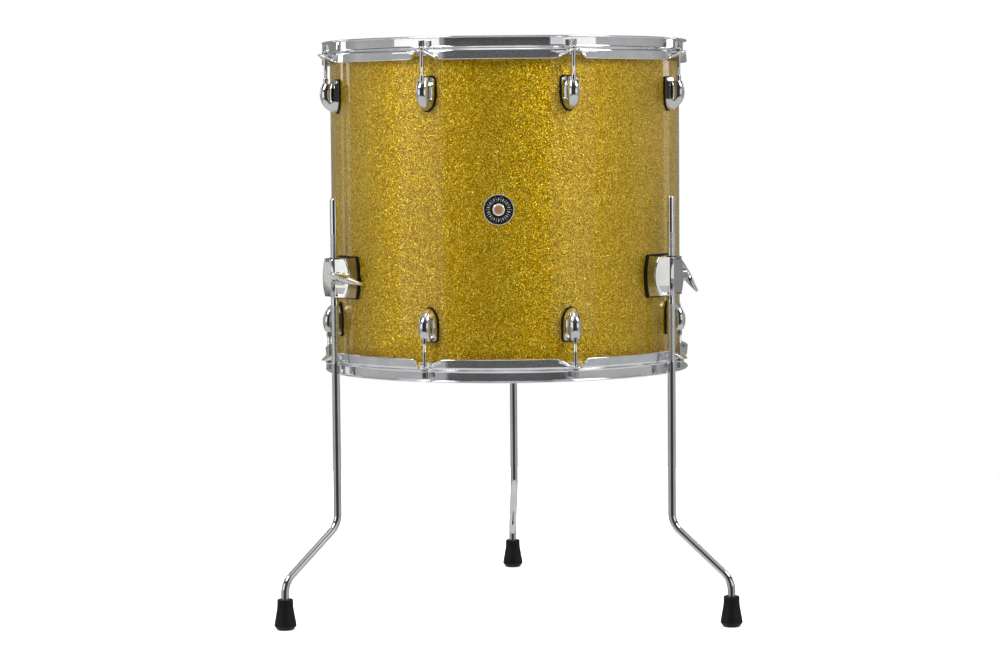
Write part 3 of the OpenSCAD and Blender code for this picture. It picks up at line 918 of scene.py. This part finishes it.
def knurl(height, turn):
    """Depth of the diamond knurling at a height and a share of a turn."""
    for low, high in KNURLED:
        if low < height < high:
            fade = min(1.0, (height - low) / 1.5, (high - height) / 1.5)
            a = turn * KNURL_AROUND + height / KNURL_PITCH
            b = turn * KNURL_AROUND - height / KNURL_PITCH
            ridge = min(abs(a - round(a)), abs(b - round(b))) * 2
            return KNURL_DEPTH * fade * (1 - min(1.0, ridge))
    return 0.0


def leg_shape(offset):
    """One bent rod with knurled bands and a rounded top."""
    segments = 80
    path = leg_path(offset)
    step = KNURL_PITCH / 6
    heights = [path[-1].y + 2, 200.0, 300.0]
    for low, high in KNURLED:
        heights += [low + step * k for k in range(int((high - low) / step) + 1)]
    heights += [505.0, 525.0] + [LEG_TOP - rest for rest in (3.0, 1.6, 0.7, 0.2, 0.0)]
    path += [Vector((0, h)) for h in heights]
    rings = []
    for i, p in enumerate(path):
        ahead = (path[min(i + 1, len(path) - 1)] - path[max(i - 1, 0)]).normalized()
        out = Vector((ahead.y, -ahead.x))
        tip = LEG_TOP - p.y
        radius = LEG_R if tip > 3 else LEG_R - 2.2 * (1 - tip / 3) ** 2.2
        ring = []
        for k in range(segments):
            turn = k / segments
            r = radius - knurl(p.y, turn) if p.x < 0.5 else radius
            a = 2 * math.pi * turn
            side = out * (r * math.cos(a))
            ring.append((p.x + side.x, r * math.sin(a), p.y + side.y))
        rings.append(ring)
    return loft(rings)


def foot_shape():
    """A flared rubber foot with a chamfered sole, hollow where it grips the leg."""
    mouth, grip = 5.3, LEG_R + 0.02
    line = rounded([(0, 0), (10.0, 0), (14.2, 5.5), (10.1, 29.0), (10.0, FOOT_H), (mouth, FOOT_H)],
                   [0, 1.2, 1.6, 4.0, 1.4, 0], 5, closed=False)
    bore = [(mouth, FOOT_H - 1.5), (grip, FOOT_H - 2), (grip, FOOT_SEAT), (0, FOOT_SEAT)]
    return lathe([tuple(p) for p in line] + bore, 72)


def legs():
    for i, angle in enumerate(LEG_ANGLES, 1):
        axis = pivot(f"leg_{i}_turn")
        away = centre(f"foot_{i}") - axis.xy
        heading = Matrix.Rotation(math.atan2(away.y, away.x), 4, "Z")
        place = Matrix.Translation((axis.x, axis.y, 0)) @ heading
        piece(f"leg_rod_{i}", [leg_shape(away.length)], "leg_chrome", [f"leg_{i}"], [place],
              angle=55)
        stand = place @ Matrix.Translation((away.length, 0, 0))
        piece(f"rubber_foot_{i}", [foot_shape()], "foot_rubber", [f"foot_{i}"], [stand], angle=50)


# ---- leg brackets and wing bolts ----

# A bracket's outer side: its flanks lean in to a shelf, on which the plate stands.
SHELF_R = 252.8
SHELF_HALF = 15.8
PLATE_R = 255.4
PLATE_HALF = 10.4
FLANK_SLOPE = 1.2
BOSS_R = 8.5
BOSS_END = 27.2
BOSS_FACE_R = 7.5


def bracket_half_width(t):
    """Half the width of a bracket's base, widest at its middle."""
    return 26.4 + 4.8 * (1 - t * t)


def bracket_plan(t):
    """A level cut through a bracket: t is -1 at its bottom, 0 at its middle and 1 at its top.
    Walls rise from the gasket to the flanks, and the plate is crowned in both directions."""
    bulge = 1 - abs(t) ** 2.2
    face = PLATE_R + 1.6 * bulge
    half = PLATE_HALF + 3.2 * bulge
    base = bracket_half_width(t)
    back = SHELL_R + BRACKET_GASKET
    rim = SHELF_R - (base - SHELF_HALF) / FLANK_SLOPE
    side = [(back - 6, base - 1.2), (rim, base), (SHELF_R, SHELF_HALF), (SHELF_R, half + 0.2),
            (face - 1.4, half + 0.2), (face - 1.2, half + 0.5), (face, half - 0.9)]
    soft = [0.1, 1.0, 0.5, 0.2, 0.15, 0.2, 0.8]
    corners = [(x, -y) for x, y in side] + side[::-1]
    return rounded(corners, soft + soft[::-1], 4)


def bracket_body():
    """The casting before its holes: full height at the base, a little shorter at its plate."""
    rings = []
    for k in range(49):
        t = math.sin(math.pi / 2 * (k - 24) / 24)
        ring = []
        for p in bracket_plan(t):
            out = max(0.0, p.x - LEG_AXIS + 13)
            half = BRACKET_HALF - 1.3 * smoothstep(0, 3, out) - 0.045 * out
            ring.append((p.x, p.y, t * half))
        rings.append(ring)
    return loft(rings)


def side_pocket(side):
    """A window low on a bracket's flank, cut square to the flank, with a floor that slopes in."""
    inner = Vector((SHELF_R, SHELF_HALF))
    along = Vector((-10.0, 10.0 * FLANK_SLOPE)).normalized()
    normal = Vector((along.y, -along.x))
    top, low = -11.6, -22.6
    window = rounded([(0.8, top), (15.2, top), (9.4, low), (0.8, low)], [0.4, 0.8, 1.0, 0.4], 3)
    rings = []
    for sunk in (True, False):
        ring = []
        for p in window:
            depth = -1.0 + 0.25 * (p.y - top) if sunk else 6.0
            q = inner + along * p.x + normal * depth
            ring.append((q.x, side * q.y, p.y))
        rings.append(ring)
    return loft(rings)


def plate_notch(end):
    """The notch in the plate where the leg comes out, at the bracket's top or bottom."""
    outline = rounded([(253.6, -4.5), (262, -4.5), (262, 4.5), (253.6, 4.5)], 0.6, 3)
    heights = sorted((end * (BRACKET_HALF - 5.6), end * (BRACKET_HALF + 4)))
    return loft([[(p.x, p.y, z) for p in outline] for z in heights])


def bracket():
    """The casting: a body and a boss, less windows, notches, back, leg hole and bolt hole."""
    obj = new_object("bracket", new_mesh("bracket", [bracket_body()]))
    across = Matrix.Translation((BOLT_AXIS, 0, 0)) @ Matrix.Rotation(-math.pi / 2, 4, "X")
    upright = Matrix.Translation((LEG_AXIS, 0, 0))
    boss = rounded([(0, 2), (BOSS_R, 2), (BOSS_R, BOSS_END - 1), (7.2, BOSS_END), (0, BOSS_END)],
                   [0, 0, 0.8, 0.6, 0], 3, closed=False)
    face = [(0, BOSS_END + 0.05), (BOSS_FACE_R, BOSS_END + 0.05), (BOSS_FACE_R, 34), (0, 34)]
    combine(obj, [moved(lathe([tuple(p) for p in boss], 64), across)], operation="UNION")
    combine(obj, [moved(lathe(face, 48), across)])
    combine(obj, [side_pocket(1), side_pocket(-1)])
    combine(obj, [plate_notch(1)])
    combine(obj, [plate_notch(-1)])
    back = SHELL_R + BRACKET_GASKET
    combine(obj, [lathe([(SHELL_R - 12, -40), (back, -40), (back, 40), (SHELL_R - 12, 40)],
                        288, loop=True)])
    leg_r, sleeve_r, ledge = 5.4, 6.45, 2 - BRACKET_HALF
    leg_hole = [(0, -40), (leg_r, -40), (leg_r, ledge), (sleeve_r, ledge), (sleeve_r, 40), (0, 40)]
    pad_r, bolt_r = 5.06, 4.08
    bolt_hole = [(0, 0), (pad_r, 0), (pad_r, 15.6), (bolt_r, 15.7), (bolt_r, 40), (0, 40)]
    combine(obj, [moved(lathe(leg_hole, 64), upright)])
    combine(obj, [moved(lathe(bolt_hole, 48), across)])
    soften(obj, 0.4, 38)
    return taken_apart(obj)


def bracket_gasket():
    """A rubber pad a little larger than the bracket's base, bent over the wrap."""
    tall, steps = BRACKET_HALF + 1.2, 6
    side = [(bracket_half_width(k / steps) + 1.4, tall * k / steps)
            for k in range(-steps, steps + 1)]
    soft = [2.0] + [0.1] * 11 + [2.0]
    outline = rounded(side + [(-x, -z) for x, z in side], soft + soft, 4)
    fine = []
    for p, q in zip(outline, outline[1:] + outline[:1]):
        count = max(1, int((q - p).length / 3))
        fine += [p + (q - p) * (k / count) for k in range(count)]
    return bent(slab(fine, 0, BRACKET_GASKET, 0.5), SHELL_R)


def brackets():
    shape = bracket()
    places = [around(angle, 0, BRACKET_Z) for angle in LEG_ANGLES]
    for i, place in enumerate(places, 1):
        piece(f"bracket_casting_{i}", [shape], "cast_chrome", [f"leg_bracket_{i}"], [place],
              angle=32)
    piece("bracket_gasket_pads", [bracket_gasket()], "gasket_rubber", ["bracket_gaskets"], places)


def wing_shape():
    """One wing, out along +X and up along +Z from the hub, as a bar of rounded sections that lean
    back: (distance out, height, half its height, half its thickness)."""
    stations = [(-1.0, 9.2, 4.8, 5.6), (3.0, 9.3, 4.9, 5.4), (6.5, 9.6, 5.0, 5.0),
                (10.0, 10.1, 5.0, 4.4), (13.5, 10.8, 4.9, 3.7), (17.0, 11.6, 4.6, 3.0),
                (20.5, 12.4, 4.1, 2.4), (23.4, 13.0, 3.2, 1.9), (25.2, 13.3, 2.0, 1.3),
                (26.0, 13.5, 0.8, 0.5)]
    lean = 0.25
    rings = []
    for x, z, tall, thick in stations:
        ring = []
        for k in range(24):
            a = 2 * math.pi * k / 24
            up = tall * math.cos(a)
            ring.append((x - up * lean, thick * math.sin(a), z + up))
        rings.append(ring)
    return loft(rings)


def wing_bolt_shape():
    """The hub and two wings, fused and smoothed like a casting, with the axis along +Z."""
    hub = rounded([(0, -0.2), (6.1, -0.2), (6.0, 4.0), (5.2, 9.0), (3.8, 13.0), (0, 13.4)],
                  [0, 0.5, 2.0, 2.0, 1.5, 0], 4, closed=False)
    obj = new_object("wing", new_mesh("wing", [lathe(hub, 48)]))
    for side in (0, math.pi):
        combine(obj, [wing_shape()], [Matrix.Rotation(side, 4, "Z")], "UNION")
    remesh = obj.modifiers.new("remesh", "REMESH")
    remesh.mode = "VOXEL"
    remesh.voxel_size = 0.42 * MM
    smooth = obj.modifiers.new("smooth", "SMOOTH")
    smooth.iterations = 5
    smooth.factor = 0.5
    settle(obj)
    return taken_apart(obj)


def wing_bolts():
    """Each bolt's hub stands just off its boss, and its stud reaches in to the clamp pad."""
    shape = wing_bolt_shape()
    hub_at = Matrix.Translation((0, BOSS_END + 0.2, 0)) @ Matrix.Rotation(-math.pi / 2, 4, "X")
    stud_r = 4.0
    stud = lathe([(0, -15.3), (stud_r - 0.4, -15.3), (stud_r, -14.9), (stud_r, 1.0), (0, 1.0)], 40)
    for i, (angle, rest) in enumerate(zip(LEG_ANGLES, WING_REST), 1):
        turned = Matrix.Rotation(math.radians(rest), 4, "Z")
        place = around(angle, BOLT_AXIS, BRACKET_Z) @ hub_at @ turned
        piece(f"wing_screw_{i}", [shape, stud], "cast_chrome", [f"wing_bolt_{i}"], [place],
              angle=60)


# ---- studio ----

# The photograph's viewpoint, fitted to the drum's edges, legs, feet and rods. The drum stands
# turned a little from the camera.
VIEW_TURN = math.radians(2.11)
CAMERA_AT = (0, -3539.8, RIM - 121.1)
CAMERA_YAW, CAMERA_PITCH, CAMERA_ROLL = (math.radians(a) for a in (-0.139, 4.201, -0.496))
LENS = 97.33


def camera():
    data = bpy.data.cameras.new("view")
    data.sensor_width = 36
    data.lens = LENS
    data.clip_end = 100
    level = math.cos(CAMERA_PITCH)
    forward = Vector((math.sin(CAMERA_YAW) * level, math.cos(CAMERA_YAW) * level,
                      -math.sin(CAMERA_PITCH)))
    right = Vector((math.cos(CAMERA_YAW), -math.sin(CAMERA_YAW), 0))
    up = right.cross(forward)
    c, s = math.cos(CAMERA_ROLL), math.sin(CAMERA_ROLL)
    right, up = right * c + up * s, up * c - right * s
    turn = Matrix((right, up, -forward)).transposed().to_4x4()
    turn.translation = Vector(CAMERA_AT) * MM
    obj = bpy.data.objects.new("view", data)
    SCENE.collection.objects.link(obj)
    obj.matrix_world = Matrix.Rotation(VIEW_TURN, 4, "Z") @ turn
    SCENE.camera = obj


def area_light(name, width, height, radiance):
    """A light of even radiance that the camera doesn't see."""
    data = bpy.data.lights.new(name, "AREA")
    data.shape = "RECTANGLE"
    data.size, data.size_y = width, height
    data.energy = radiance * math.pi * width * height
    obj = bpy.data.objects.new(name, data)
    SCENE.collection.objects.link(obj)
    obj.visible_camera = False
    return obj


def softbox(name, azimuth, distance, low, high, width, radiance):
    """An upright soft panel at an azimuth from the camera's side, facing the drum's axis."""
    a = math.radians(azimuth) + VIEW_TURN
    place = Vector((math.sin(a) * distance, -math.cos(a) * distance, (low + high) / 2))
    look = Vector((-place.x, -place.y, 0)).to_track_quat("-Z", "Y").to_matrix().to_4x4()
    look.translation = place
    area_light(name, width, high - low, radiance).matrix_world = look


def overhead(name, height, size, radiance, reflected, offset=0.0):
    """A soft panel above the drum, facing down."""
    obj = area_light(name, size, size, radiance)
    obj.location = (0, offset, height)
    obj.visible_glossy = reflected


def floor():
    """A plain white floor, wide enough for the soft shadows of the legs."""
    verts, faces = lathe([(0, 0), (1.5, 0)], 96)
    mesh = bpy.data.meshes.new("floor")
    mesh.from_pydata([Vector(v) for v in verts], [], faces)
    obj = new_object("floor", mesh)
    obj.visible_glossy = False
    t = Material("floor_paint")
    whites = (0.35, (0.95, 0.95, 0.95)), (0.65, (0.97, 0.97, 0.97))
    t.link(t.ramp(t.noise(3, 3), *whites), "Base Color")
    t.set(Roughness=0.9, Specular_IOR_Level=0.1)
    t.set(Emission_Color=(1, 1, 1, 1), Emission_Strength=0.5)
    mesh.materials.append(t.material)


# What the room sends back: its walls by the angle from the camera's side, its floor and ceiling
# by the height of the direction, and the share of floor and ceiling at each height.
WALLS = ((0, 0.04), (32, 0.04), (37, 0.06), (40, 0.34), (60, 0.38), (105, 0.38), (130, 0.20),
         (180, 0.24))
ROOM = ((-1.0, 0.62), (0.0, 0.62), (0.3, 0.08), (0.58, 0.08), (0.72, 0.42), (1.0, 0.42))
ROOM_SHARE = ((-1.0, 1.0), (-0.42, 1.0), (-0.34, 0.0), (0.33, 0.0), (0.42, 1.0), (1.0, 1.0))


def world():
    """A grey room for the chrome to show: walls that are dark behind the camera, a pale floor, and
    a ceiling with a dark band around it. The camera itself sees plain white behind the drum."""
    room = bpy.data.worlds.new("studio")
    room.use_nodes = True
    t = Nodes(room.node_tree)

    def levels(socket, stops):
        """Grey levels at shares of the way that a direction's component goes from -1 to 1."""
        way = t.add("ShaderNodeMapRange", {"Value": socket, "From Min": -1})
        return t.ramp(way.outputs[0], *((share, (level,) * 3) for share, level in stops))

    place = t.add("ShaderNodeTexCoord").outputs["Generated"]
    turn = t.add("ShaderNodeMapping", {"Vector": place, "Rotation": (0, 0, -VIEW_TURN)})
    flat = t.add("ShaderNodeVectorMath", {0: turn.outputs[0], 1: (1, 1, 0)}, operation="MULTIPLY")
    unit = t.add("ShaderNodeVectorMath", {0: flat.outputs[0]}, operation="NORMALIZE")
    depth = t.add("ShaderNodeSeparateXYZ", {0: unit.outputs[0]}).outputs["Y"]
    height = t.add("ShaderNodeSeparateXYZ", {0: place}).outputs["Z"]
    walls = levels(depth, [((1 - math.cos(math.radians(a))) / 2, level) for a, level in WALLS])
    share, ends = (levels(height, [((z + 1) / 2, level) for z, level in stops])
                   for stops in (ROOM_SHARE, ROOM))
    eye = t.add("ShaderNodeLightPath").outputs["Is Camera Ray"]
    seen = t.mix(eye, t.mix(share, walls, ends), (1, 1, 1, 1))
    t.tree.links.new(seen, t.tree.nodes["Background"].inputs["Color"])
    SCENE.world = room


PANEL_DISTANCE = 2.2
STRIP_DISTANCE = 2.0


def studio():
    """Low panels that the hoops and brackets reflect, high keys that light the wrap, strips behind
    that edge it, and two overhead panels. Heights are in metres."""
    world()
    floor()
    low, high = 0.22, 1.0
    softbox("panel_left", -54.7, PANEL_DISTANCE, low, high, 1.22, 0.78)
    softbox("panel_right", 42.2, PANEL_DISTANCE, low, high, 1.15, 0.66)
    for side, azimuth in (("left", -48.0), ("right", 57.0)):
        softbox(f"key_{side}", azimuth, PANEL_DISTANCE, 1.45, 2.6, 0.98, 7.4)
    split = 0.69
    for side, azimuth, width in (("left_1", -128, 0.14), ("left_2", -119, 0.19),
                                 ("right", 126.5, 0.34)):
        softbox(f"back_strip_{side}", azimuth, STRIP_DISTANCE, split, 1.6, width, 2.4)
        softbox(f"low_strip_{side}", azimuth, STRIP_DISTANCE, 0.1, split, width, 0.55)
    overhead("ceiling", 3.2, 6.0, 1.5, False)
    overhead("top_panel", 2.6, 1.2, 1.0, True, -0.9)
    SCENE.view_settings.view_transform = "Standard"
    SCENE.view_settings.look = "None"


dress_frame()
wrap()
badge()
vent()
hoops()
heads()
lugs()
rods()
legs()
brackets()
wing_bolts()
studio()
camera()
